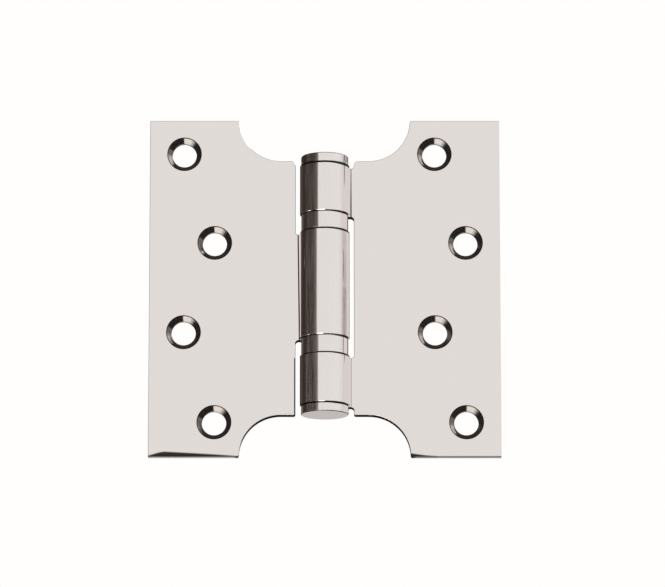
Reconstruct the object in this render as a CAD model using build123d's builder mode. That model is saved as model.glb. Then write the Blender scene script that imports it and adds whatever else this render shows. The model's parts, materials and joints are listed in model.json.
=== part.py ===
from build123d import *

import os
from math import acos, asin, degrees, sqrt

# A 4 inch parliament hinge in stainless steel, opened flat. Each leaf is one piece of 3 mm
# sheet, blanked with two scalloped corners. Its strips are bent back behind the leaf and then
# rolled into knuckles round a straight pin, so the leaves come close together when the hinge
# is closed. A thrust ball bearing in a plain casing sits between each pair of knuckles.
#
# The pin's axis is Z and the origin is its middle. The leaves lie in the XZ plane behind the
# pin, countersunk faces towards -Y. The frame leaf goes to +X and the door leaf to -X.

# Driving dimensions of the leaves, in millimetres
leaf_height = 100.4
open_width = 102.6
leaf_thickness = 3.0
leaf_offset = 2.5
knuckle_radius = 7.25
bend_radius = 1.5
slot_gap = 1.3
scallop_radius = 12.2
inner_flat = 4.25
tab_corner_radius = 0.5
upper_inner_corner_radius = 1.3
lower_inner_corner_radius = 0.5
frame_root_radius = 0.95
door_root_radius = 0.9
least_flat = 0.05
edge_break = 0.1
seam_gap = 0.2

# Driving dimensions of the screw holes
screw_hole_radius = 3.55
countersink_radius = 5.05
countersink_angle = 82.0
hole_rows = 4
first_row_inset = 10.1
outer_column_inset = 10.1
column_stagger = 9.0

# Driving dimensions of the barrel
centre_knuckle_length = 31.6
bearing_height = 5.3
cap_thickness = 2.8
cap_rise = 0.5
cap_radius = 6.9
cap_bevel = 0.2
cap_edge_break = 0.1
spigot_length = 4.0
spigot_bevel = 0.3
pin_end_gap = 0.2
pin_bevel = 0.4
pin_clearance = 0.05
spigot_clearance = 0.02

# Driving dimensions of the bearings
casing_radius = 6.85
casing_wall = 0.4
casing_bevel = 0.15
ball_radius = 0.75
ball_count = 8
groove_depth = 0.2
ball_clearance = 0.05
race_clearance = 0.05
running_gap = 0.1
cage_height = 0.7
pocket_clearance = 0.06

# Sizes that follow
half_width = open_width / 2
half_height = leaf_height / 2
leaf_front = leaf_offset
leaf_back = leaf_front + leaf_thickness
bore_radius = knuckle_radius - leaf_thickness
slot_edge = knuckle_radius + slot_gap
scallop_centre = slot_edge + inner_flat
tab_corner = scallop_centre + scallop_radius
inner_edge = half_height - scallop_radius
row_pitch = (leaf_height - 2 * first_row_inset) / (hole_rows - 1)
outer_column = half_width - outer_column_inset
inner_column = outer_column - column_stagger

centre_end = centre_knuckle_length / 2
bearing_end = centre_end + bearing_height
cap_end = inner_edge + cap_rise
knuckle_end = cap_end - cap_thickness
spigot_end = knuckle_end - spigot_length
pin_radius = bore_radius - pin_clearance
spigot_radius = bore_radius - spigot_clearance

# The strip leaves the plane of the leaf in a bend that meets the barrel's circle smoothly
bend_level = leaf_back + bend_radius
bend_start = sqrt((knuckle_radius + bend_radius) ** 2 - bend_level**2)
bend_angle = degrees(acos(bend_level / (knuckle_radius + bend_radius)))

# It is then rolled past the back of the barrel and round its front, to just short of the leaf
roll_end_angle = degrees(asin((leaf_front - seam_gap) / knuckle_radius))
roll_past_back = 270 + roll_end_angle

# The leaves' back faces, seen from the front
back_plane = Plane.XZ.offset(-leaf_back)
front_plane = Plane.XZ.offset(-leaf_front)

# The two round corners between an outer knuckle's end and the leaf's inner edge share the room
corner_room = inner_edge - knuckle_end - least_flat
corner_share = min(1, corner_room / (frame_root_radius + upper_inner_corner_radius))

frame_knuckles = [(bearing_end, knuckle_end), (-knuckle_end, -bearing_end)]
door_knuckles = [(-centre_end, centre_end)]

tiny = 1e-4
frame_side, door_side = 1, -1


def corners(sketch, x, heights):
    """The corners of the sketch at one distance across and at any of these heights."""
    return [
        corner
        for corner in sketch.vertices()
        if abs(corner.X - x) < tiny and any(abs(corner.Y - height) < tiny for height in heights)
    ]


def leaf_blank(sketch, side, knuckles, root_radius):
    """The flat part of the blank: a plate with scalloped corners and the root of each strip."""
    plate_width = half_width - slot_edge
    with Locations((side * (slot_edge + plate_width / 2), 0)):
        Rectangle(plate_width, leaf_height)
    for end in (half_height, -half_height):
        with Locations((side * scallop_centre, end)):
            Circle(scallop_radius, mode=Mode.SUBTRACT)
        with Locations((side * (slot_edge + inner_flat / 2), end)):
            Rectangle(inner_flat, 2 * scallop_radius, mode=Mode.SUBTRACT)
    for low, high in knuckles:
        with Locations((side * (bend_start + slot_edge) / 2, (low + high) / 2)):
            Rectangle(slot_edge - bend_start, high - low)
    strip_ends = [height for span in knuckles for height in span]
    fillet(corners(sketch, side * slot_edge, strip_ends), root_radius * corner_share)
    fillet(corners(sketch, side * slot_edge, [inner_edge]), upper_inner_corner_radius * corner_share)
    fillet(corners(sketch, side * slot_edge, [-inner_edge]), lower_inner_corner_radius * corner_share)
    fillet(corners(sketch, side * tab_corner, [half_height, -half_height]), tab_corner_radius)


def break_edges(leaf):
    """A small bevel round the blank's front and back edges, but not where the strips go on."""
    faces = leaf.faces().filter_by(Axis.Y).sort_by(Axis.Y)
    edges = faces[0].outer_wire().edges() + faces[-1].outer_wire().edges()
    chamfer([edge for edge in edges if abs(edge.center().X) > bend_start + tiny], edge_break)


def strip_section(plane, near, far, low, high):
    """A strip cut across between two distances from the plane's middle, with broken edges."""
    with BuildSketch(plane) as section:
        with BuildLine():
            Polyline(
                (near + edge_break, low),
                (far - edge_break, low),
                (far, low + edge_break),
                (far, high - edge_break),
                (far - edge_break, high),
                (near + edge_break, high),
                (near, high - edge_break),
                (near, low + edge_break),
                close=True,
            )
        make_face()
    return section.sketch


def roll_knuckle(side, low, high):
    """The strip bent back from the leaf and rolled round the barrel, almost to the leaf's front."""
    bend_plane = Plane.YZ.offset(side * bend_start)
    bend_axis = Axis((side * bend_start, bend_level, 0), (0, 0, 1))
    flat_end = strip_section(bend_plane, leaf_front, leaf_back, low, high)
    revolve(flat_end, axis=bend_axis, revolution_arc=-side * bend_angle)
    barrel_back = strip_section(Plane.YZ, bore_radius, knuckle_radius, low, high)
    revolve(barrel_back, axis=Axis.Z, revolution_arc=-side * bend_angle)
    revolve(barrel_back, axis=Axis.Z, revolution_arc=side * roll_past_back)


def countersink_holes(side, first_column, second_column):
    """Four staggered screw holes, countersunk on the front face."""
    for row in range(hole_rows):
        column = first_column if row % 2 == 0 else second_column
        height = half_height - first_row_inset - row * row_pitch
        with Locations(front_plane.location * Location((side * column, height, 0))):
            CounterSinkHole(
                screw_hole_radius,
                countersink_radius,
                depth=2 * leaf_thickness,
                counter_sink_angle=countersink_angle,
            )


def write(name, label):
    """Names the finished piece and writes it to its own file."""
    name.part.label = label
    export_step(name.part, f"parts/{label}.step")


os.makedirs("parts", exist_ok=True)

# Frame leaf, with the two outer knuckles
with BuildPart() as frame_leaf:
    with BuildSketch(back_plane) as frame_blank:
        leaf_blank(frame_blank, frame_side, frame_knuckles, frame_root_radius)
    extrude(amount=leaf_thickness)
    break_edges(frame_leaf)
    for low_end, high_end in frame_knuckles:
        roll_knuckle(frame_side, low_end, high_end)
    countersink_holes(frame_side, inner_column, outer_column)
write(frame_leaf, "frame_leaf")

# Door leaf, with the centre knuckle
with BuildPart() as door_leaf:
    with BuildSketch(back_plane) as door_blank:
        leaf_blank(door_blank, door_side, door_knuckles, door_root_radius)
    extrude(amount=leaf_thickness)
    break_edges(door_leaf)
    for low_end, high_end in door_knuckles:
        roll_knuckle(door_side, low_end, high_end)
    countersink_holes(door_side, outer_column, inner_column)
write(door_leaf, "door_leaf")

# Pin, straight from one cap's spigot to the other's
pin_end = spigot_end - pin_end_gap
with BuildPart() as hinge_pin:
    Cylinder(pin_radius, 2 * pin_end)
    chamfer(hinge_pin.edges().filter_by(GeomType.CIRCLE), pin_bevel)
write(hinge_pin, "hinge_pin")


def turned_cap(direction):
    """A turned cap: a disc that closes the barrel and a spigot pressed into the knuckle's bore."""
    with BuildSketch(Plane.XZ) as section:
        with BuildLine():
            Polyline(
                (0, direction * cap_end),
                (cap_radius - cap_bevel, direction * cap_end),
                (cap_radius, direction * (cap_end - cap_bevel)),
                (cap_radius, direction * (knuckle_end + cap_edge_break)),
                (cap_radius - cap_edge_break, direction * knuckle_end),
                (spigot_radius, direction * knuckle_end),
                (spigot_radius, direction * (spigot_end + spigot_bevel)),
                (spigot_radius - spigot_bevel, direction * spigot_end),
                (0, direction * spigot_end),
                close=True,
            )
        make_face()
    revolve(section.sketch, axis=Axis.Z)


# Caps
with BuildPart() as top_cap:
    turned_cap(1)
write(top_cap, "top_cap")

with BuildPart() as bottom_cap:
    turned_cap(-1)
write(bottom_cap, "bottom_cap")

# Places inside a bearing, measured along the pin from the hinge's middle
race_outer_radius = casing_radius - casing_wall - race_clearance
race_inner_radius = pin_radius + race_clearance
pitch_radius = (race_outer_radius + race_inner_radius) / 2
race_spacing = 2 * (ball_radius - groove_depth + ball_clearance)
race_height = (bearing_height - race_spacing) / 2
ball_level = centre_end + bearing_height / 2
groove_width = ball_radius + ball_clearance
cage_outer_radius = race_outer_radius - race_clearance
cage_inner_radius = race_inner_radius + race_clearance


def bearing_casing(direction):
    """A tube pressed over the outer race. It hides the balls and stops just short of the door knuckle."""
    wall_inside = casing_radius - casing_wall
    open_end = centre_end + running_gap
    with BuildSketch(Plane.XZ) as section:
        with BuildLine():
            Polyline(
                (wall_inside, direction * bearing_end),
                (casing_radius - casing_bevel, direction * bearing_end),
                (casing_radius, direction * (bearing_end - casing_bevel)),
                (casing_radius, direction * (open_end + casing_bevel)),
                (casing_radius - casing_bevel, direction * open_end),
                (wall_inside, direction * open_end),
                close=True,
            )
        make_face()
    revolve(section.sketch, axis=Axis.Z)


def race(flat_end, ball_end):
    """A hardened ring with a groove for the balls in one face."""
    groove_bottom = ball_end + (groove_depth if flat_end > ball_end else -groove_depth)
    with BuildSketch(Plane.XZ) as section:
        with BuildLine():
            Polyline(
                (race_inner_radius, flat_end),
                (race_outer_radius, flat_end),
                (race_outer_radius, ball_end),
                (pitch_radius + groove_width, ball_end),
                (pitch_radius, groove_bottom),
                (pitch_radius - groove_width, ball_end),
                (race_inner_radius, ball_end),
                close=True,
            )
        make_face()
    revolve(section.sketch, axis=Axis.Z)


def ball_cage(direction):
    """A thin ring with a round pocket for each ball."""
    with BuildSketch(Plane.XY.offset(direction * ball_level)) as ring:
        Circle(cage_outer_radius)
        Circle(cage_inner_radius, mode=Mode.SUBTRACT)
        with PolarLocations(pitch_radius, ball_count):
            Circle(ball_radius + pocket_clearance, mode=Mode.SUBTRACT)
    extrude(ring.sketch, amount=cage_height / 2, both=True)


# Bearings, one above the centre knuckle and one below it
for place, direction in (("upper", 1), ("lower", -1)):
    with BuildPart() as casing:
        bearing_casing(direction)
    write(casing, f"{place}_bearing_casing")

    with BuildPart() as outer_race:
        race(direction * bearing_end, direction * (bearing_end - race_height))
    write(outer_race, f"{place}_outer_race")

    with BuildPart() as inner_race:
        race(direction * centre_end, direction * (centre_end + race_height))
    write(inner_race, f"{place}_inner_race")

    with BuildPart() as cage:
        ball_cage(direction)
    write(cage, f"{place}_ball_cage")

    for number, spot in enumerate(PolarLocations(pitch_radius, ball_count), start=1):
        with BuildPart() as ball:
            with Locations(spot * Location((0, 0, direction * ball_level))):
                Sphere(ball_radius)
        write(ball, f"{place}_ball_{number}")
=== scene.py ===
# %% [markdown]
# # A parliament hinge in polished stainless steel
#
# The hinge comes as a finished solid model: two leaves, a pin, two caps and two ball bearings,
# each piece a mesh of its own that already stands in its true place. Nothing is moved or
# reshaped here. What is left to do is what a polisher, a photographer and a lighting hand
# would do: give every surface its finish, set up a studio for the steel to mirror, and place
# the camera. Lengths are in metres, +Z runs up the pin, and the countersunk faces look to -Y.

# %% Load the hinge
import json
import math

import bpy
import numpy as np
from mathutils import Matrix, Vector

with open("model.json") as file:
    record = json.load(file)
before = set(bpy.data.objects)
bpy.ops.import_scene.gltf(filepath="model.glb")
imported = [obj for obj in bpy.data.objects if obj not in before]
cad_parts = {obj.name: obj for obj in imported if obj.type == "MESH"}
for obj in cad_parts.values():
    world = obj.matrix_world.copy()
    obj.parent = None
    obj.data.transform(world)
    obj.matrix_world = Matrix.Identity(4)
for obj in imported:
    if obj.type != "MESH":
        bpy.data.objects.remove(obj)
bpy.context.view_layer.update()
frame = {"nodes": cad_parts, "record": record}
nodes = frame["nodes"]

# %% [markdown]
# ## Sizes read from the model
#
# Marks such as a countersink's tool rings have to sit exactly on the hole they belong to. So
# the places are read from the model instead of typed in: corner points give the planes of the
# leaf and the ends of the knuckles, and the list of screw patterns gives the centre of every
# hole. If the model changes size, the finish follows.

# %% Read the sizes
mm = 0.001


def corner_points(name):
    """All corner points of a piece as one array with a row for each point."""
    mesh = nodes[name].data
    points = np.empty(3 * len(mesh.vertices))
    mesh.vertices.foreach_get("co", points)
    return points.reshape(-1, 3)


def hole_centres(side):
    """Centres of one leaf's screw holes as (x, z), from its two patterns of two holes each."""
    centres = []
    for mount in frame["record"]["mounts"]:
        if mount["kind"] == "bolt_pattern" and mount["name"].startswith(side):
            x, _, z = mount["pos_m"]
            reach = mount["dims"]["spacing_y_mm"] * mm / 2
            centres += [(x, z + reach), (x, z - reach)]
    return sorted(centres, key=lambda centre: -centre[1])


frame_points = corner_points("frame_leaf")
door_points = corner_points("door_leaf")
casing_points = corner_points("upper_bearing_casing")
half_width, _, half_height = frame_points.max(axis=0)
knuckle_radius = -frame_points[:, 1].min()
plate_points = frame_points[frame_points[:, 0] > half_width / 2]
leaf_front, leaf_back = plate_points[:, 1].min(), plate_points[:, 1].max()
outer_knuckle_end = frame_points[frame_points[:, 0] < 0, 2].max()
centre_knuckle_end = door_points[door_points[:, 0] > 0, 2].max()
casing_end = casing_points[:, 2].max()
beside_barrel, past_knuckle = 1 * mm, 2 * mm
left_of_barrel = door_points[:, 0] < -knuckle_radius - beside_barrel
beyond_knuckle = np.abs(door_points[:, 2]) > centre_knuckle_end + past_knuckle
slot_edge = -door_points[left_of_barrel & beyond_knuckle, 0].max()
joints = [side * end for side in (1, -1) for end in (outer_knuckle_end, casing_end, centre_knuckle_end)]
holes = {side: hole_centres(side) for side in ("frame", "door")}
print(f"Leaf {2 * half_height / mm:.1f} mm high and {(leaf_back - leaf_front) / mm:.1f} mm thick")
print(f"Knuckles of {knuckle_radius / mm:.2f} mm radius")
print(f"Outer knuckles up to {outer_knuckle_end / mm:.1f} mm from the middle")

# %% [markdown]
# ## The camera
#
# The photograph was taken from straight in front and a little below the middle: the arcs of
# the barrel bow upwards and its bottom face can be seen. Its outline hardly narrows towards
# the top, so the camera stands well back with a long lens. The lens is worked out from the
# hinge's width in the photograph, and a small shift moves the hinge to its place off centre.

# %% Place the camera
photo_width, photo_height = 665, 587
photo_hinge_width = 351.2
photo_hinge_middle = (324.75, 287.45)
camera_distance = 1.5
camera_elevation = math.radians(-12.6)
sensor_width = 36.0


def photo_camera():
    """A camera whose lens makes the open hinge as wide as it is in the photograph."""
    camera = bpy.data.cameras.new("photo_camera")
    away = Vector((0, -math.cos(camera_elevation), math.sin(camera_elevation)))
    pixels_per_metre = photo_hinge_width / (2 * half_width)
    camera.sensor_width = sensor_width
    camera.lens = pixels_per_metre * camera_distance / photo_width * sensor_width
    camera.shift_x = (photo_width / 2 - photo_hinge_middle[0]) / photo_width
    camera.shift_y = (photo_hinge_middle[1] - photo_height / 2) / photo_width
    stand = bpy.data.objects.new("photo_camera", camera)
    stand.location = Vector((0, leaf_front, 0)) + camera_distance * away
    stand.rotation_mode = "QUATERNION"
    stand.rotation_quaternion = (-away).to_track_quat("-Z", "Y")
    bpy.context.scene.collection.objects.link(stand)
    return stand


bpy.context.scene.camera = photo_camera()
print(f"Lens {bpy.context.scene.camera.data.lens:.0f} mm at {camera_distance} m")

# %% [markdown]
# ## Small helpers for node trees
#
# Every material is a graph of nodes. Written out in full, each node takes four or five lines,
# which hides the idea behind it. These helpers make a node and wire it in one line, so that a
# formula in nodes reads like a formula. A mask is a value from 0 to 1 that says where an
# effect shows, and two masks multiplied show where both are.

# %% Node helpers
green_loss = 0.65


def feed(tree, socket, source):
    """Wires another node's output into a socket, or sets the socket to a steady value."""
    if isinstance(source, bpy.types.NodeSocket):
        tree.links.new(source, socket)
    else:
        socket.default_value = source


def node(tree, kind, inputs=None, **settings):
    """A node of this kind. Settings are its own options, and inputs are fed by name or place."""
    made = tree.nodes.new("ShaderNode" + kind)
    for name, value in settings.items():
        setattr(made, name, value)
    for key, source in (inputs or {}).items():
        feed(tree, made.inputs[key], source)
    return made


def math_node(tree, operation, *sources, clamp=False):
    """The result of one sum, product, sine or other operation."""
    made = node(tree, "Math", operation=operation, use_clamp=clamp)
    for place, source in enumerate(sources):
        feed(tree, made.inputs[place], source)
    return made.outputs[0]


def fade(tree, value, start, end, low=0.0, high=1.0):
    """Goes smoothly from low to high as the value goes from start to end."""
    made = node(tree, "MapRange", {"Value": value, "From Min": start, "From Max": end,
                                   "To Min": low, "To Max": high}, interpolation_type="SMOOTHSTEP")
    return made.outputs["Result"]


def band(tree, value, low, high, soft):
    """A mask of the places where the value lies between low and high, with soft borders."""
    rise = fade(tree, value, low - soft, low + soft)
    fall = fade(tree, value, high - soft, high + soft, 1.0, 0.0)
    return math_node(tree, "MULTIPLY", rise, fall)


def both(tree, first, *others):
    """A mask of the places where all of these masks are."""
    for other in others:
        first = math_node(tree, "MULTIPLY", first, other)
    return first


def opposite(tree, mask):
    """A mask of the places where this mask isn't."""
    return math_node(tree, "SUBTRACT", 1.0, mask)


def mix_values(tree, share, first, second):
    """The first value where the share is 0, and the second where it is 1."""
    made = node(tree, "Mix", data_type="FLOAT")
    for place, source in zip((0, 2, 3), (share, first, second)):
        feed(tree, made.inputs[place], source)
    return made.outputs[0]


def mix_colours(tree, share, first, second):
    """The first colour where the share is 0, and the second where it is 1."""
    made = node(tree, "Mix", data_type="RGBA")
    for place, source in zip((0, 6, 7), (share, first, second)):
        feed(tree, made.inputs[place], source)
    return made.outputs[2]


def grey(value, warmth=0.0):
    """A grey of this brightness. Warmth takes a little green and more blue away."""
    return (value, value * (1 - green_loss * warmth), value * (1 - warmth), 1.0)


print("Helpers are ready")

# %% [markdown]
# ## The studio
#
# A mirror has no colour of its own to show: polished steel looks like the room round it. The
# photograph tells what that room was. The flat leaves see a broad pale wall behind the
# camera. The barrel, which bends the view round both sides, sees the pale wall as far as its
# middle and a dark room to the left. The countersinks look sideways, up and down: they are
# nearly black, apart from a lamp low on the left, which shows as a bright wedge at the top of
# each, and a weaker one on the right, which shows as a grey patch.
#
# So the world is painted by direction. A ramp goes once round the horizon, and fades take it
# over into what lies overhead and underneath. The floor in front is pale, which keeps the
# leaves light when they are seen from above. What the camera sees directly is plain white, and
# what lights the matt floor is plain soft light, so only the steel shows the room.

# %% Paint the room by direction
full_turn = 360.0
room_strength = 0.845
wall_behind = grey(0.22, 0.05)
wall_round = {
    -176: grey(0.05, 0.36),
    -140: grey(0.04, 0.36),
    -112: grey(0.06, 0.36),
    -96: grey(0.075, 0.36),
    -86: grey(0.055, 0.36),
    -72: grey(0.055, 0.36),
    -58: grey(0.055, 0.36),
    -46: grey(0.10, 0.32),
    -39: grey(0.14, 0.22),
    -34: grey(0.26, 0.1),
    -31: grey(0.72, 0.02),
    -29: grey(0.98, 0.01),
    70: grey(1.0, 0.01),
    92: grey(0.90, 0.01),
    106: grey(0.62, 0.02),
    118: grey(0.86, 0.01),
    138: grey(0.30, 0.02),
    165: grey(0.22, 0.03),
}
overhead, overhead_height = grey(0.09, 0.4), (30.0, 50.0)
gap_below, gap_height = grey(0.055, 0.4), (-4.0, -13.0)
behind_below, behind_depth = grey(0.80, 0.05), (0.0, 0.5)
deep_height = (-30.0, -36.0)
front_floor = grey(0.62, 0.05)
front_floor_height, front_floor_depth = (-4.0, -10.0), (-0.62, -0.68)
low_lamp = grey(6.2)
low_lamp_side, low_lamp_far_side = (0.01, -0.03), (-0.85, -0.45)
low_lamp_depth, low_lamp_height = (-0.66, -0.14, 0.02), (-24.0, -36.0)
side_lamp = grey(3.7)
side_lamp_turn, side_lamp_height = (56.0, 112.0, 8.0), (21.0, 52.0, 5.0)
plain_light = grey(1.0)
backdrop = (1.0, 0.991, 0.976, 1.0)


def ray_direction(tree):
    """A ray's x and y, its angle round the horizon and its height, both in degrees."""
    ray = node(tree, "TexCoord").outputs["Generated"]
    x, y, z = node(tree, "SeparateXYZ", {0: ray}).outputs
    turn = math_node(tree, "ARCTAN2", x, math_node(tree, "MULTIPLY", y, -1.0))
    return x, y, math_node(tree, "DEGREES", turn), math_node(tree, "DEGREES", math_node(tree, "ARCSINE", z))


def horizon(tree, turn):
    """The wall's colour at each angle round the horizon. The ramp's 0 to 1 is one full turn."""
    ramp = node(tree, "ValToRGB", {"Fac": math_node(tree, "MULTIPLY_ADD", turn, 1 / full_turn, 0.5)})
    stops = ramp.color_ramp.elements
    stops[0].color = wall_behind
    stops[1].color = wall_behind
    for angle, colour in wall_round.items():
        stops.new(angle / full_turn + 0.5).color = colour
    return ramp.outputs["Color"]


def room(tree):
    """Colour of the room in each direction that a reflection can look."""
    x, y, turn, height = ray_direction(tree)
    below = mix_colours(tree, fade(tree, y, *behind_depth), gap_below, behind_below)
    wall = mix_colours(tree, fade(tree, height, *gap_height), horizon(tree, turn), below)
    wall = mix_colours(tree, fade(tree, height, *overhead_height), wall, overhead)
    wall = mix_colours(tree, fade(tree, height, *deep_height), wall, gap_below)
    in_front = both(tree, fade(tree, y, *front_floor_depth), fade(tree, height, *front_floor_height))
    wall = mix_colours(tree, in_front, wall, front_floor)
    low = both(tree, fade(tree, x, *low_lamp_side), fade(tree, x, *low_lamp_far_side),
               band(tree, y, *low_lamp_depth), fade(tree, height, *low_lamp_height))
    wall = mix_colours(tree, low, wall, low_lamp)
    aside = both(tree, band(tree, turn, *side_lamp_turn), band(tree, height, *side_lamp_height))
    return mix_colours(tree, aside, wall, side_lamp)


def studio_world():
    """A world that is white to the camera, soft to matt surfaces and the painted room to steel."""
    world = bpy.data.worlds.new("studio")
    world.use_nodes = True
    tree = world.node_tree
    tree.nodes.clear()
    path = node(tree, "LightPath")
    room_light = node(tree, "Background", {"Color": room(tree), "Strength": room_strength})
    soft_light = node(tree, "Background", {"Color": plain_light, "Strength": 1.0})
    white = node(tree, "Background", {"Color": backdrop, "Strength": 1.0})
    lit = node(tree, "MixShader", {0: path.outputs["Is Diffuse Ray"], 1: room_light.outputs[0],
                                   2: soft_light.outputs[0]})
    seen = node(tree, "MixShader", {0: path.outputs["Is Camera Ray"], 1: lit.outputs[0],
                                    2: white.outputs[0]})
    node(tree, "OutputWorld", {"Surface": seen.outputs[0]})
    return world


scene = bpy.context.scene
scene.world = studio_world()
scene.view_settings.view_transform = "Standard"
print(f"Room painted with {len(wall_round)} stops round the horizon")

# %% [markdown]
# ## The floor
#
# The hinge is held by its screws and not by a floor, so the floor lies well below it. It is a
# wide matt sheet with a very fine grain. The steel doesn't mirror it: what the steel sees
# underneath is already part of the painted room.

# %% Lay the floor
floor_level = -0.6
floor_reach = 8.0
floor_grain = 900.0
floor_roughness = 0.9
floor_greys = (grey(0.88), grey(0.92))


def floor_material():
    """Pale matt card with a faint unevenness."""
    material = bpy.data.materials.new("pale_floor")
    material.use_nodes = True
    tree = material.node_tree
    place = node(tree, "TexCoord").outputs["Object"]
    grain = node(tree, "TexNoise", {"Vector": place, "Scale": floor_grain}).outputs["Fac"]
    shader = tree.nodes["Principled BSDF"]
    feed(tree, shader.inputs["Base Color"], mix_colours(tree, grain, *floor_greys))
    shader.inputs["Roughness"].default_value = floor_roughness
    return material


def pale_floor():
    """One large square."""
    mesh = bpy.data.meshes.new("floor")
    reach, level = floor_reach, floor_level
    corners = [(-reach, -reach, level), (reach, -reach, level),
               (reach, reach, level), (-reach, reach, level)]
    mesh.from_pydata(corners, [], [(0, 1, 2, 3)])
    mesh.materials.append(floor_material())
    floor = bpy.data.objects.new("floor", mesh)
    scene.collection.objects.link(floor)
    floor.visible_glossy = False
    return floor


pale_floor()
print(f"Floor at {floor_level} m")

# %% [markdown]
# ## Marks that several finishes share
#
# Real polished metal is never blank. A buffing wheel leaves fine straight lines and a very
# slight ripple, and a lathe or a countersink tool leaves rings round its own axis. Each of
# these marks is a node group with a few named numbers, so that every material can place it
# with its own strength. A mark is a height in metres, and a Bump node turns all the heights
# together into tilted normals, as real scratches do.

# %% Build the shared marks
line_stretch = (5200.0, 5200.0, 90.0)
ripple_scale = 70.0
line_height, ripple_height = 0.1e-6, 5e-6
rings_per_metre, ring_height = 6000.0, 0.3e-6


def new_group(name, inputs, outputs):
    """An empty node group, with its inputs as a dictionary and its output node."""
    group = bpy.data.node_groups.new(name, "ShaderNodeTree")
    for label, (kind, value) in inputs.items():
        socket = group.interface.new_socket(label, in_out="INPUT", socket_type=kind)
        if value is not None:
            socket.default_value = value
    for label, kind in outputs.items():
        group.interface.new_socket(label, in_out="OUTPUT", socket_type=kind)
    given = group.nodes.new("NodeGroupInput").outputs
    result = group.nodes.new("NodeGroupOutput").inputs
    return group, given, result


def buffing_lines():
    """Fine lines along Z and a broad ripple, added up as a height in metres.

    The lines are a noise that is stretched far along one direction. The ripple is a noise
    that isn't stretched, and far coarser.
    """
    group, given, result = new_group(
        "Buffing lines",
        {"Place": ("NodeSocketVector", None), "Line Height": ("NodeSocketFloat", line_height),
         "Ripple Height": ("NodeSocketFloat", ripple_height)},
        {"Height": "NodeSocketFloat"},
    )
    stretched = node(group, "VectorMath", {0: given["Place"], 1: line_stretch},
                     operation="MULTIPLY").outputs[0]
    lines = node(group, "TexNoise", {"Vector": stretched, "Scale": 1.0, "Detail": 3.0}).outputs[0]
    ripple = node(group, "TexNoise", {"Vector": given["Place"], "Scale": ripple_scale, "Detail": 1.0})
    fine = math_node(group, "MULTIPLY", lines, given["Line Height"])
    feed(group, result["Height"],
         math_node(group, "MULTIPLY_ADD", ripple.outputs[0], given["Ripple Height"], fine))
    return group


def turning_rings():
    """Tool rings round an axis, as a height in metres. The radius is given in metres.

    The height is a noise of the radius alone, so it is the same all the way round.
    """
    group, given, result = new_group(
        "Turning rings",
        {"Radius": ("NodeSocketFloat", 0.0), "Along": ("NodeSocketFloat", 0.0),
         "Rings per Metre": ("NodeSocketFloat", rings_per_metre),
         "Height": ("NodeSocketFloat", ring_height)},
        {"Height": "NodeSocketFloat", "Ring": "NodeSocketFloat"},
    )
    path = math_node(group, "ADD", given["Radius"], given["Along"])
    scaled = math_node(group, "MULTIPLY", path, given["Rings per Metre"])
    rings = node(group, "TexNoise", {"W": scaled, "Scale": 1.0, "Detail": 2.0},
                 noise_dimensions="1D").outputs[0]
    feed(group, result["Height"], math_node(group, "MULTIPLY", rings, given["Height"]))
    feed(group, result["Ring"], rings)
    return group


groups = {"lines": buffing_lines(), "rings": turning_rings()}


def use_group(tree, name, **inputs):
    """Places a shared mark in a material. Spaces in a socket's name are written as _."""
    made = tree.nodes.new("ShaderNodeGroup")
    made.node_tree = groups[name]
    for label, source in inputs.items():
        feed(tree, made.inputs[label.replace("_", " ")], source)
    return made.outputs


print("Shared marks:", ", ".join(group.name for group in groups.values()))

# %% [markdown]
# ## Polished steel
#
# Every steel piece starts from the same metal. A buffed stainless surface throws back most of
# the light, a little less of the blue than of the red, which is why it looks warm beside
# silver. Metallic 1 makes the Principled shader a pure mirror of that colour, and Roughness
# says how sharp the mirror is.

# %% Steel
steel_colour = (0.899, 0.847, 0.8235, 1.0)
# Colour and roughness of the dirt in the joints, and of the painted shade beside the knuckles, on the
# barrel's flanks, on lower rims and on bevels that look down.
dirt_and_shade_colour = (0.030, 0.022, 0.018, 1.0)
dirt_and_shade_roughness = 0.5


def new_material(name):
    """An empty material with its tree and its Principled shader."""
    material = bpy.data.materials.new(name)
    material.use_nodes = True
    return material, material.node_tree, material.node_tree.nodes["Principled BSDF"]


def bump(tree, shader, height):
    """Turns a height in metres into tilted normals."""
    made = node(tree, "Bump", {"Height": height, "Strength": 1.0, "Distance": 1.0})
    feed(tree, shader.inputs["Normal"], made.outputs["Normal"])


def upright_share(tree):
    """How far the surface faces up: 1 upwards, 0 sideways and -1 downwards."""
    return node(tree, "SeparateXYZ", {0: node(tree, "TexCoord").outputs["Normal"]}).outputs[2]


def distance_between(tree, first, second, centre=(0.0, 0.0)):
    """Distance of two coordinates from a centre, by the rule of right triangles."""
    offsets = [math_node(tree, "SUBTRACT", value, start) for value, start in zip((first, second), centre)]
    squares = [math_node(tree, "MULTIPLY", offset, offset) for offset in offsets]
    return math_node(tree, "SQRT", math_node(tree, "ADD", *squares))


def hole_distance(tree, x, z, centres):
    """Distance in metres from the nearest of these hole axes."""
    distances = [distance_between(tree, x, z, centre) for centre in centres]
    nearest = distances[0]
    for distance in distances[1:]:
        nearest = math_node(tree, "MINIMUM", nearest, distance)
    return nearest


def front_angle(tree, x, y, side=1):
    """Angle round the pin in degrees, from the front and towards +X, or towards -X for side -1."""
    across = math_node(tree, "MULTIPLY", x, float(side))
    front = math_node(tree, "MULTIPLY", y, -1.0)
    return math_node(tree, "DEGREES", math_node(tree, "ARCTAN2", across, front))


print(f"Steel throws back {steel_colour[0]:.0%} of the red light and {steel_colour[2]:.0%} of the blue")
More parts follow.
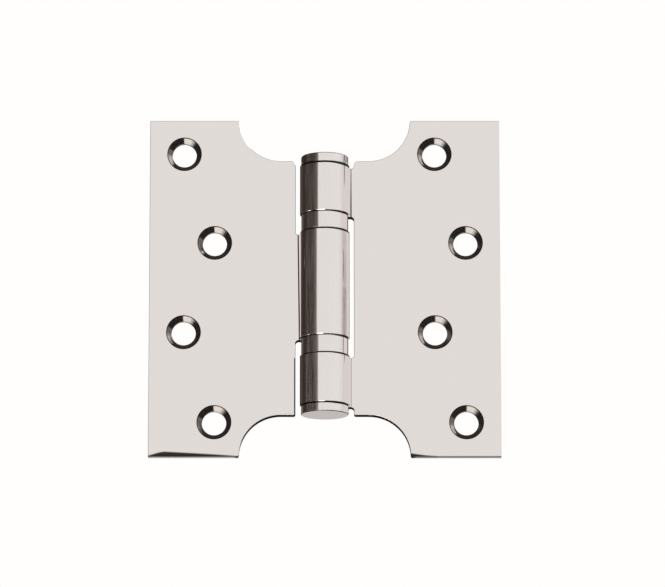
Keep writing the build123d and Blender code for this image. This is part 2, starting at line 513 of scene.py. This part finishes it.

# %% [markdown]
# ## Dirt, painted shade and haze on the barrel
#
# The barrel is made of pieces that end face to face, and buffing compound fills every joint.
# It shows as a dark line below each joint and on the bevels that look up. The bevels that look
# down stay clean and catch the light, except at the far left, where they are darkened as painted
# shade. The barrel's flanks, beside the slot of the other leaf, are darkened too, as a painted
# dark reflection. The front is clouded by fine upright scratches, which the leaves don't have,
# so this haze is made here for the knuckles, the rings and the caps alike.

# %% Dirt, painted shade and haze
bevel_facing = (0.25, 0.5)
joint_line = (0.27 * mm, 0.52 * mm)
joint_line_across = (1 * mm, 7 * mm)
# Left of this the bevels that look down are darkened as painted shade.
left_bevel_shade_end, left_bevel_shade_share = (-5.4 * mm, -4.2 * mm), 0.9
cap_joint_share = 1.5
cap_foot_line, cap_foot_soft = 0.26 * mm, 0.05 * mm
# Where the painted shade on the barrel's flank fades in, and where it ends, in degrees.
flank_shade_fade, flank_shade_end = 7.0, (84.0, 98.0)
haze_reach, haze_border = 48.5, 0.8
haze_at_top, haze_at_bottom = 0.03, 0.055
scratches_per_degree, scratches_per_metre = 0.2, 60.0
scratch_range, scratch_share = (0.35, 0.65), (0.2, 1.7)


def below_joints(tree, x, z):
    """A mask of the dark line below each joint, which is thicker on the right of the barrel.

    At the caps' joints the line is thicker still, and the top cap has one round its foot.
    """
    depth = fade(tree, x, *joint_line_across, *joint_line)
    line = band(tree, z, outer_knuckle_end, outer_knuckle_end + cap_foot_line, cap_foot_soft)
    for joint in joints:
        below = math_node(tree, "SUBTRACT", joint, z)
        if abs(joint) > casing_end:
            below = math_node(tree, "DIVIDE", below, cap_joint_share)
        near = both(tree, math_node(tree, "LESS_THAN", below, depth),
                    math_node(tree, "GREATER_THAN", below, 0.0))
        line = math_node(tree, "MAXIMUM", line, near)
    return line


def joint_dirt_and_shade(tree, x, z, under_joint):
    """A mask of the dirt in the joints of the barrel, with painted shade on the bevels that look down at
    the far left.

    The bevels that look up are full of it. The bevels that look down only have the share
    given by under_joint, except at the far left, where they are darkened further as painted shade.
    """
    upright = upright_share(tree)
    upward = fade(tree, upright, *bevel_facing)
    downward = fade(tree, upright, *(-limit for limit in bevel_facing))
    downward = both(tree, downward, fade(tree, x, *left_bevel_shade_end, left_bevel_shade_share, under_joint))
    bevels = math_node(tree, "MAXIMUM", upward, downward)
    return math_node(tree, "MAXIMUM", bevels, below_joints(tree, x, z))


def flank_shade(tree, angle, start):
    """A mask of the barrel's flank beside the slot of the other leaf, where a dark reflection is painted as
    shade.

    The shade starts at this angle from the front, in degrees, and ends a little behind the flank.
    """
    begins = fade(tree, angle, start, start + flank_shade_fade)
    ends = fade(tree, angle, *flank_shade_end, 1.0, 0.0)
    return both(tree, begins, ends)


def buffing_haze(tree, x, y, z):
    """How far the barrel's polish is clouded by fine upright scratches, as a share of the light.

    The wheel only touches the front of the barrel, as far round as the reach in degrees. The
    scratches are a noise of the angle that hardly changes along the pin.
    """
    angle = front_angle(tree, x, y)
    spot = node(tree, "CombineXYZ", {0: math_node(tree, "MULTIPLY", angle, scratches_per_degree),
                                     1: math_node(tree, "MULTIPLY", z, scratches_per_metre)}).outputs[0]
    scratches = node(tree, "TexNoise", {"Vector": spot, "Scale": 1.0, "Detail": 2.0}).outputs[0]
    touched = band(tree, angle, -haze_reach, haze_reach, haze_border)
    amount = fade(tree, z, outer_knuckle_end, -outer_knuckle_end, haze_at_top, haze_at_bottom)
    return both(tree, touched, amount, fade(tree, scratches, *scratch_range, *scratch_share))


print(f"Dirt at {len(joints)} joints, and haze as far as {haze_reach} degrees from the front")

# %% [markdown]
# ## Marks of the buffing wheel
#
# The door leaf's bottom edge looks as if the wheel was held there too long. The flat face rolls
# off and turns down in the shape of a long thin wedge, and the wedge is painted dark: a painted
# reflection of the dark that the rolled-off face mirrors. The frame leaf has a much smaller one
# at its bottom inner corner. The knuckle has a soft brown streak down its right side. All of
# them belong to this very hinge, and a copy without them would look too clean. They are a bump
# and a colour and not a form, because the sheet would only be worn away by a few tenths of a
# millimetre.

# %% The wheel's marks
roll_off_radius = 4.0 * mm
roll_offs = {
    -1: {"start": -53.3 * mm, "deepest": -46.3 * mm, "end": -24.5 * mm, "height": 1.45 * mm, "power": 0.75},
    1: {"start": 23.0 * mm, "deepest": 24.8 * mm, "end": 38.5 * mm, "height": 1.05 * mm, "power": 2.5},
}
flat_before_dark, least_wedge = 0.6 * mm, 0.15 * mm
# Where the wedge's painted dark reflection sets in, and its colour.
wedge_shade_depth = (0.45 * mm, 0.95 * mm)
wedge_painted_shade = (0.068, 0.050, 0.040, 1.0)
streak_middle, streak_half_width, streak_border = 53.0, 8.0, 6.0
streak_cloud_scale, streak_cloud_range, streak_cloud_share = 260.0, (0.25, 0.7), (0.55, 1.0)
streak_low_part, streak_low_share = (-0.5 * mm, -2.5 * mm), (0.6, 1.0)


def depth_in_roll_off(tree, x, y, z, side):
    """Depth in metres below a slanting line near the leaf's bottom edge, and 0 above it.

    The line rises quickly to its highest point and falls slowly to the edge again, so that the
    area below it is a long thin triangle.
    """
    place = roll_offs[side]
    rise = fade(tree, x, place["start"], place["deepest"])
    fall = math_node(tree, "SUBTRACT", place["end"], x)
    fall = math_node(tree, "DIVIDE", fall, place["end"] - place["deepest"], clamp=True)
    fall = math_node(tree, "POWER", fall, place["power"])
    wedge = math_node(tree, "MULTIPLY", math_node(tree, "MINIMUM", rise, fall), place["height"])
    reach = math_node(tree, "ADD", wedge, flat_before_dark)
    from_edge = math_node(tree, "ADD", z, half_height)
    depth = math_node(tree, "MAXIMUM", math_node(tree, "SUBTRACT", reach, from_edge), 0.0)
    shown = fade(tree, wedge, 0.0, least_wedge)
    front_half = math_node(tree, "LESS_THAN", y, (leaf_front + leaf_back) / 2)
    return both(tree, depth, shown, front_half)


def rolled_off_edge(tree, depth):
    """A height that falls by the depth squared over twice the radius, as on a large circle."""
    squared = math_node(tree, "MULTIPLY", depth, depth)
    return math_node(tree, "MULTIPLY", squared, -0.5 / roll_off_radius)


def knuckle_streak(tree, x, y, z, on_barrel):
    """A soft upright band round one part of the knuckle, given by its angle from the front."""
    angle = front_angle(tree, x, y)
    start, end = streak_middle - streak_half_width, streak_middle + streak_half_width
    soft = band(tree, angle, start, end, streak_border)
    cloud = node(tree, "TexNoise", {"Vector": node(tree, "TexCoord").outputs["Object"],
                                    "Scale": streak_cloud_scale, "Detail": 2.0}).outputs[0]
    strength = fade(tree, cloud, *streak_cloud_range, *streak_cloud_share)
    low = fade(tree, z, *streak_low_part, *streak_low_share)
    return both(tree, soft, strength, low, on_barrel)


# The dark of these wedges is a painted reflection.
print(f"Burnt wedges on {len(roll_offs)} leaves")

# %% [markdown]
# ## The leaves
#
# Each leaf is one sheet, but its surfaces have had different treatment. The broad faces and
# the knuckles are buffed to a mirror. The countersinks were cut after that and keep the fine
# rings of the tool, and their colour is darkened past that of cut steel as painted shade in the
# recess. The model gives them a straight cone, and a bump flares it a little, so that it mirrors
# the lamps where the photograph shows them. The 3 mm edges were cut by a press: torn along the
# curves, and cleaner along the straight outer edges. The torn edges are rough, and their near
# black is painted shade. The clean edges are painted light on the door leaf and darker on the
# frame leaf, as painted light and shade. One material holds them all and tells them apart by
# masks worked out from the place on the leaf.

# %% Where a point lies on the leaf
countersink_reach = 5.3 * mm
face_margin = 0.02 * mm
barrel_margin = 0.04 * mm
bevel_depth = 0.17 * mm


class LeafPlaces:
    """A point's coordinates on the leaf, and masks of the surfaces that it can lie on."""

    def __init__(self, tree, side, centres):
        self.place = node(tree, "TexCoord").outputs["Object"]
        self.x, self.y, self.z = node(tree, "SeparateXYZ", {0: self.place}).outputs
        self.from_hole = hole_distance(tree, self.x, self.z, centres)
        from_pin = distance_between(tree, self.x, self.y)
        self.off_barrel = math_node(tree, "GREATER_THAN", from_pin, knuckle_radius + barrel_margin)
        self.on_barrel = opposite(tree, self.off_barrel)
        in_hole = math_node(tree, "LESS_THAN", self.from_hole, countersink_reach)
        self.off_hole = opposite(tree, in_hole)
        behind_face = math_node(tree, "GREATER_THAN", self.y, leaf_front + face_margin)
        before_back = math_node(tree, "LESS_THAN", self.y, leaf_back - face_margin)
        self.in_seat = both(tree, in_hole, behind_face, before_back)
        between_bevels = band(tree, self.y, leaf_front + bevel_depth, leaf_back - bevel_depth, face_margin)
        self.sheared = both(tree, between_bevels, self.off_barrel, self.off_hole)
        self.roll_off = depth_in_roll_off(tree, self.x, self.y, self.z, side)


print(f"Each countersink's finish reaches {countersink_reach / mm:.1f} mm from its axis")

# %% [markdown]
# ## Dirt and painted shade on the leaves
#
# Buffing compound is a greasy paste that stays where the wheel can't reach: in the joints and
# round each countersink. The dark line in the corner beside each knuckle and the dark on the
# bevels that look down are painted shade. Each of these is a mask of its own, and at every point
# the strongest one counts.

# %% Dirt and painted shade on the leaf
leaf_joint_dirt = 0.12
# Where the painted shade on each leaf's knuckle flank starts, and how strong it is.
flank_shade_start = {1: 67.0, -1: 74.0}
flank_shade_share = {1: 1.0, -1: 0.6}
# The dark line beside each knuckle is painted shade where the leaf meets the barrel.
corner_lines = {1: 0.44 * mm, -1: 0.34 * mm}
corner_line_lean = {1: 0.0, -1: 0.013}
corner_line_width, corner_line_soft = 0.19 * mm, 0.04 * mm
corner_face_depth = 0.05 * mm
low_corner_share, high_corner_share = 0.35, (0.55, 1.0)
high_corner_end = centre_knuckle_end + 6 * mm
slot_line_width, slot_line_depth = 0.36 * mm, 0.15 * mm
edge_face_margin, edge_face_soft = 0.01 * mm, 0.005 * mm
countersink_edge, countersink_line = 5.05 * mm, (-0.24 * mm, 0.03 * mm)
hole_radius, hole_line = 3.55 * mm, 0.2 * mm
seat_line_soft, seat_line_share = 0.03 * mm, 0.8


def frame_corner_painted_shade(tree, at, line):
    """The painted shade beside the frame leaf's knuckles, which fades upwards and is faint at the bottom.
    """
    upper = fade(tree, at.z, outer_knuckle_end, high_corner_end, *high_corner_share)
    is_upper = math_node(tree, "GREATER_THAN", at.z, 0.0)
    return both(tree, line, mix_values(tree, is_upper, low_corner_share, upper))


def door_corner_painted_shade(tree, at, line):
    """The painted shade line beside the door leaf's knuckle, with one more beside the slot below it."""
    from_slot = math_node(tree, "MULTIPLY_ADD", at.x, -1.0, -slot_edge)
    slot_line = both(tree, band(tree, from_slot, 0.0, slot_line_width, corner_line_soft),
                     math_node(tree, "LESS_THAN", at.z, -casing_end),
                     math_node(tree, "LESS_THAN", at.y, leaf_front + slot_line_depth))
    return math_node(tree, "MAXIMUM", line, slot_line)


def corner_painted_shade(tree, at, side):
    """The thin dark line on the leaf's face beside its knuckles, painted shade where the leaf meets the
    barrel.
    """
    across = math_node(tree, "MULTIPLY_ADD", at.x, float(side), -(knuckle_radius + corner_lines[side]))
    from_middle = math_node(tree, "MULTIPLY_ADD", at.z, -corner_line_lean[side], across)
    on_face = band(tree, at.y, leaf_front - corner_face_depth, leaf_front + corner_face_depth, face_margin)
    line = band(tree, from_middle, -corner_line_width, corner_line_width, corner_line_soft)
    line = both(tree, line, on_face)
    return frame_corner_painted_shade(tree, at, line) if side > 0 else door_corner_painted_shade(tree, at, line)


def barrel_dirt_and_shade(tree, at, side):
    """Dirt in the joints of the knuckles, and painted shade on their flank."""
    flank = flank_shade(tree, front_angle(tree, at.x, at.y, -side), flank_shade_start[side])
    flank = both(tree, flank, flank_shade_share[side])
    on_knuckle = math_node(tree, "MAXIMUM", joint_dirt_and_shade(tree, at.x, at.z, leaf_joint_dirt), flank)
    return both(tree, on_knuckle, at.on_barrel)


def seat_grime(tree, at):
    """Two dark lines round each countersink: inside its rim, and on the lip of the hole."""
    rim_start, rim_end = (countersink_edge + offset for offset in countersink_line)
    rim = band(tree, at.from_hole, rim_start, rim_end, seat_line_soft)
    lip = band(tree, at.from_hole, hole_radius, hole_radius + hole_line, seat_line_soft)
    lines = math_node(tree, "MAXIMUM", rim, both(tree, lip, at.in_seat))
    front_half = math_node(tree, "LESS_THAN", at.y, (leaf_front + leaf_back) / 2)
    return both(tree, lines, front_half, seat_line_share)


def edge_painted_shade(tree, at):
    """Painted shade on the bevels of the leaf that look down."""
    downward = fade(tree, upright_share(tree), *(-limit for limit in bevel_facing))
    in_plate = band(tree, at.y, leaf_front + edge_face_margin, leaf_back - edge_face_margin, edge_face_soft)
    return both(tree, downward, in_plate, at.off_barrel, opposite(tree, at.sheared), at.off_hole)


def leaf_dirt_and_shade(tree, at, side):
    """All the dirt and painted shade of a leaf in one mask."""
    dirt_and_shade = corner_painted_shade(tree, at, side)
    for other in (barrel_dirt_and_shade(tree, at, side), edge_painted_shade(tree, at), seat_grime(tree, at)):
        dirt_and_shade = math_node(tree, "MAXIMUM", dirt_and_shade, other)
    return dirt_and_shade


print(f"Dark lines round {sum(len(centres) for centres in holes.values())} countersinks")

# %% [markdown]
# ## Steel, seats and cut edges
#
# With the masks in place, colour and roughness are layers laid over each other: polished steel
# first, then the duller seats and the cut edges with their painted light and shade, and the dirt
# and painted shade last. Heights are added up instead, because a worn edge keeps the fine lines
# that the wheel has left on it.

# %% Leaf finishes
seat_flare = 0.30
seat_haze = 0.10
seat_ring_height = 5.0e-6
knuckle_lean = 0.05
polished_roughness, seat_roughness = 0.05, 0.11
torn_roughness, clean_roughness = 0.95, {1: 0.22, -1: 0.12}
# The seats' colour is cut steel, darkened further as painted shade in the recess.
seat_colour_and_shade = (0.162, 0.144, 0.132, 1.0)
# The torn edges are rough, and their near black is painted shade. The clean edges are painted light on the
# door leaf and painted shade on the frame leaf.
torn_edge_colour_and_shade = (0.03, 0.023, 0.019, 1.0)
clean_edge_light_and_shade = {1: (0.42, 0.39, 0.37, 1.0), -1: (0.98, 0.95, 0.93, 1.0)}
streak_colour = (0.40, 0.36, 0.34, 1.0)
press_stretch, press_range = (420.0, 1500.0, 420.0), (0.1, 0.4)
straight_edges = (24.5 * mm, 27 * mm)


def clean_cut(tree, at):
    """A mask of the straight outer edges, which the press cut cleanly, and not of the curves.

    A noise that is stretched across the edge streaks them, as a press leaves it.
    """
    stretched = node(tree, "VectorMath", {0: at.place, 1: press_stretch}, operation="MULTIPLY").outputs[0]
    patches = node(tree, "TexNoise", {"Vector": stretched, "Scale": 1.0, "Detail": 4.0}).outputs[0]
    outward = fade(tree, math_node(tree, "ABSOLUTE", at.x), *straight_edges)
    return both(tree, outward, fade(tree, patches, *press_range))


def leaf_colour(tree, at, side, clean, dirt_and_shade):
    """Steel, with the colours of the seats, the streak and the cut edges, the painted shade of the wedge,
    and the dirt and painted shade over it.
    """
    colour = mix_colours(tree, at.in_seat, steel_colour, seat_colour_and_shade)
    if side < 0:
        streak = knuckle_streak(tree, at.x, at.y, at.z, at.on_barrel)
        colour = mix_colours(tree, streak, colour, streak_colour)
    edge = mix_colours(tree, clean, torn_edge_colour_and_shade, clean_edge_light_and_shade[side])
    colour = mix_colours(tree, at.sheared, colour, edge)
    colour = mix_colours(tree, fade(tree, at.roll_off, *wedge_shade_depth), colour, wedge_painted_shade)
    return mix_colours(tree, dirt_and_shade, colour, dirt_and_shade_colour)


def leaf_roughness(tree, at, side, clean, dirt_and_shade):
    """A sharp mirror on the faces, duller in the seats and on the edges, and matt in the dirt and painted
    shade.
    """
    roughness = mix_values(tree, at.in_seat, polished_roughness, seat_roughness)
    edge = mix_values(tree, clean, torn_roughness, clean_roughness[side])
    roughness = mix_values(tree, at.sheared, roughness, edge)
    return mix_values(tree, dirt_and_shade, roughness, dirt_and_shade_roughness)


def leaf_haze(tree, at):
    """The share of light that is scattered: by scratches on the barrel, and by rings in the seats."""
    haze = both(tree, buffing_haze(tree, at.x, at.y, at.z), at.on_barrel)
    return mix_values(tree, at.in_seat, haze, seat_haze)


def leaf_height(tree, at, side):
    """Buffing lines and ripple, the seats' rings and flare, the worn edge and the knuckle's lean."""
    marks = use_group(tree, "lines", Place=at.place)
    rings = use_group(tree, "rings", Radius=at.from_hole, Along=at.y, Height=seat_ring_height)
    seat = math_node(tree, "MULTIPLY_ADD", at.from_hole, -seat_flare, rings["Height"])
    height = mix_values(tree, at.in_seat, marks["Height"], seat)
    height = math_node(tree, "ADD", height, rolled_off_edge(tree, at.roll_off))
    if side < 0:
        lean = math_node(tree, "MULTIPLY", at.x, -knuckle_lean)
        height = math_node(tree, "ADD", height, both(tree, lean, at.on_barrel))
    return height


def leaf_material(name, side, centres):
    """Mirror-polished sheet with ringed countersinks, cut edges, and dirt and painted shade in its corners.
    """
    material, tree, shader = new_material(name)
    at = LeafPlaces(tree, side, centres)
    clean = clean_cut(tree, at)
    dirt_and_shade = leaf_dirt_and_shade(tree, at, side)
    feed(tree, shader.inputs["Base Color"], leaf_colour(tree, at, side, clean, dirt_and_shade))
    feed(tree, shader.inputs["Roughness"], leaf_roughness(tree, at, side, clean, dirt_and_shade))
    feed(tree, shader.inputs["Metallic"], opposite(tree, leaf_haze(tree, at)))
    bump(tree, shader, leaf_height(tree, at, side))
    return material


materials = {
    "frame_leaf": leaf_material("frame_leaf_steel", 1, holes["frame"]),
    "door_leaf": leaf_material("door_leaf_steel", -1, holes["door"]),
}
print("Leaf finishes:", ", ".join(materials))

# %% [markdown]
# ## Joints and edges of the turned pieces
#
# A sharp edge in a model mirrors nothing, while a real one is a little round and catches a thin
# line of light. So a bump stands in for the rounding of the bearing casings' lower edges. The
# dirt lies where the knuckles have it, in the joints. The flanks carry the same painted shade as
# the knuckles, and the rims that look down, outside the joints, are darkened as painted shade.

# %% Dirt, painted shade and rounded edges of the turned pieces
# The bearing rings' flanks carry painted shade as well, and their joints carry dirt.
ring_flank_shade_start, ring_flank_shade_share, ring_joint_dirt = 70.0, 0.9, 0.1
joint_zone = outer_knuckle_end + 0.5 * mm
lower_rim_facing, lower_rim_share = (-0.9, -0.3, 0.05), 0.8
ring_edges = (centre_knuckle_end + 0.25 * mm, -casing_end + 0.15 * mm)
ring_edge_width, ring_edge_slope = 0.08 * mm, 0.6


def rounded_ring_edge(tree, z):
    """A height that rises a little just above the bearing rings' lower edges, as if they were round."""
    height = 0.0
    for edge in ring_edges:
        above = math_node(tree, "SUBTRACT", z, edge)
        near = math_node(tree, "MINIMUM", math_node(tree, "MAXIMUM", above, 0.0), ring_edge_width)
        height = math_node(tree, "MULTIPLY_ADD", near, ring_edge_slope, height)
    return height


def turned_dirt_and_shade(tree, x, y, z, upright):
    """Dirt in the joints, and painted shade on the flanks and on the rims that look down outside the
    joints.
    """
    in_joint = math_node(tree, "LESS_THAN", math_node(tree, "ABSOLUTE", z), joint_zone)
    from_front = math_node(tree, "ABSOLUTE", front_angle(tree, x, y))
    flank = both(tree, flank_shade(tree, from_front, ring_flank_shade_start), ring_flank_shade_share)
    joint_dirt_and_flank_shade = math_node(tree, "MAXIMUM", joint_dirt_and_shade(tree, x, z, ring_joint_dirt), flank)
    # The rims that look down, outside the joints, are darkened as painted shade.
    lower_rim = both(tree, band(tree, upright, *lower_rim_facing), lower_rim_share)
    lower_rim = both(tree, lower_rim, opposite(tree, in_joint))
    return math_node(tree, "MAXIMUM", both(tree, joint_dirt_and_flank_shade, in_joint), lower_rim)


print(f"Rounded lower edges on {len(ring_edges)} bearing rings")

# %% [markdown]
# ## Turned, ground and moulded pieces
#
# The caps and the bearing rings come off a lathe and are polished as they spin, so whatever
# marks are left go round the pin. The pin, the races and the balls are ground and carry a film
# of oil. The cages are natural nylon. Most of this is hidden in the barrel until it is taken
# apart, but it is finished all the same.

# %% Turned steel, balls and nylon
ringed_colour = (0.70, 0.65, 0.62, 1.0)
end_facing, ring_range = (0.9, 0.95), (0.3, 0.7)
haze_radius = (6 * mm, 6.5 * mm)
nylon_colours = ((0.80, 0.77, 0.66, 1.0), (0.86, 0.84, 0.76, 1.0))
nylon_grain, nylon_roughness = 800.0, 0.45


def turned_colour(tree, upright, ring, dirt_and_shade):
    """Steel with darker rings on its end faces, and dirt and painted shade over it."""
    end_face = fade(tree, math_node(tree, "ABSOLUTE", upright), *end_facing)
    ringed = both(tree, end_face, fade(tree, ring, *ring_range))
    colour = mix_colours(tree, ringed, steel_colour, ringed_colour)
    return mix_colours(tree, dirt_and_shade, colour, dirt_and_shade_colour)


def turned_material(name, roughness, ring_height, in_barrel=False):
    """Steel turned on a lathe and polished, with faint rings round the pin's axis.

    A piece that shows in the barrel also has the barrel's haze, dirt at its joints, and painted shade on
    its flanks and lower rims.
    """
    material, tree, shader = new_material(name)
    x, y, z = node(tree, "SeparateXYZ", {0: node(tree, "TexCoord").outputs["Object"]}).outputs
    radius = distance_between(tree, x, y)
    rings = use_group(tree, "rings", Radius=radius, Along=z, Height=ring_height)
    height = rings["Height"]
    spread = fade(tree, rings["Ring"], 0.0, 1.0, roughness, 2 * roughness)
    if in_barrel:
        upright = upright_share(tree)
        dirt_and_shade = turned_dirt_and_shade(tree, x, y, z, upright)
        feed(tree, shader.inputs["Base Color"], turned_colour(tree, upright, rings["Ring"], dirt_and_shade))
        haze = both(tree, buffing_haze(tree, x, y, z), fade(tree, radius, *haze_radius))
        feed(tree, shader.inputs["Metallic"], opposite(tree, haze))
        spread = mix_values(tree, dirt_and_shade, spread, dirt_and_shade_roughness)
        height = math_node(tree, "ADD", height, rounded_ring_edge(tree, z))
    else:
        shader.inputs["Base Color"].default_value = steel_colour
        shader.inputs["Metallic"].default_value = 1.0
    feed(tree, shader.inputs["Roughness"], spread)
    bump(tree, shader, height)
    return material


def nylon_material(name):
    """Natural nylon, slightly uneven in colour."""
    material, tree, shader = new_material(name)
    place = node(tree, "TexCoord").outputs["Object"]
    patches = node(tree, "TexNoise", {"Vector": place, "Scale": nylon_grain}).outputs[0]
    feed(tree, shader.inputs["Base Color"], mix_colours(tree, patches, *nylon_colours))
    shader.inputs["Roughness"].default_value = nylon_roughness
    return material


materials["turned_cap"] = turned_material(
    "turned_cap_steel", roughness=0.05, ring_height=0.8e-6, in_barrel=True)
materials["bearing_ring"] = turned_material(
    "bearing_ring_steel", roughness=0.04, ring_height=0.2e-6, in_barrel=True)
materials["ground_steel"] = turned_material("ground_steel", roughness=0.18, ring_height=0.6e-6)
materials["ball_steel"] = turned_material("ball_steel", roughness=0.03, ring_height=0.02e-6)
materials["cage_nylon"] = nylon_material("cage_nylon")
print(f"{len(materials)} materials")

# %% [markdown]
# ## Dress the pieces
#
# Each piece arrives with a plain material whose name says what it is made of. That name is the
# key to the finish that takes its place. The two leaves have a finish each, because their holes
# and their marks lie in different places.

# %% Dress every piece


def dress(name):
    """Puts a finish in each material slot of a piece: its own, or its slot's in the record."""
    for slot in nodes[name].material_slots:
        key = name if name in materials else slot.material.name.split(".")[0]
        slot.material = materials[key]


for name in nodes:
    dress(name)
print(f"Dressed {len(nodes)} pieces")
